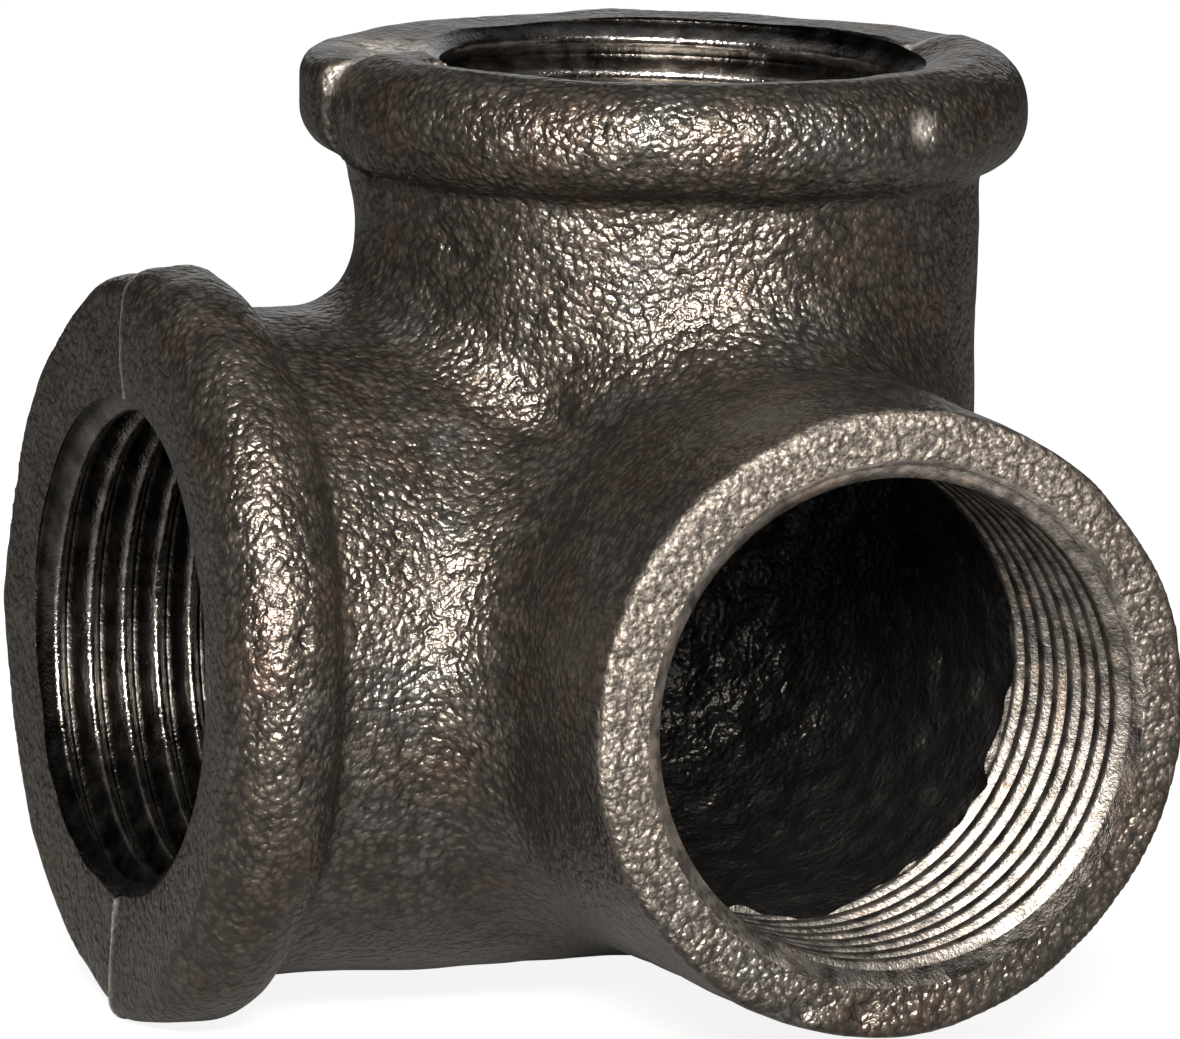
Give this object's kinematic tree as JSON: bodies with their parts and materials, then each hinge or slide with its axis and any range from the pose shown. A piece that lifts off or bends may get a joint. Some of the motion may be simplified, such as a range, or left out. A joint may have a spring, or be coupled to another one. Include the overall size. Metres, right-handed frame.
{
  "type": "side outlet elbow",
  "caption": "Three-way corner pipe fitting in black malleable iron with internally threaded outlets at right angles, two with bands and a plain side outlet.",
  "frame": {"origin": "the middle of the bottom face of the part's box, level with the lowest point of the side band; the outlets' centre lines cross at (7.475, 8.05, 24.4) mm", "axes": "+Z out of the top banded outlet, -X out of the other banded outlet, -Y out of the plain side outlet"},
  "size_m": [0.061, 0.0649, 0.0624],
  "materials": {
    "black_iron": "as cast, black oxide with a thin oil film, grainy and semi-gloss, with bright machined threads"
  },
  "bodies": {
    "root": {"elbow_casting": "black_iron"}
  },
  "joints": []
}
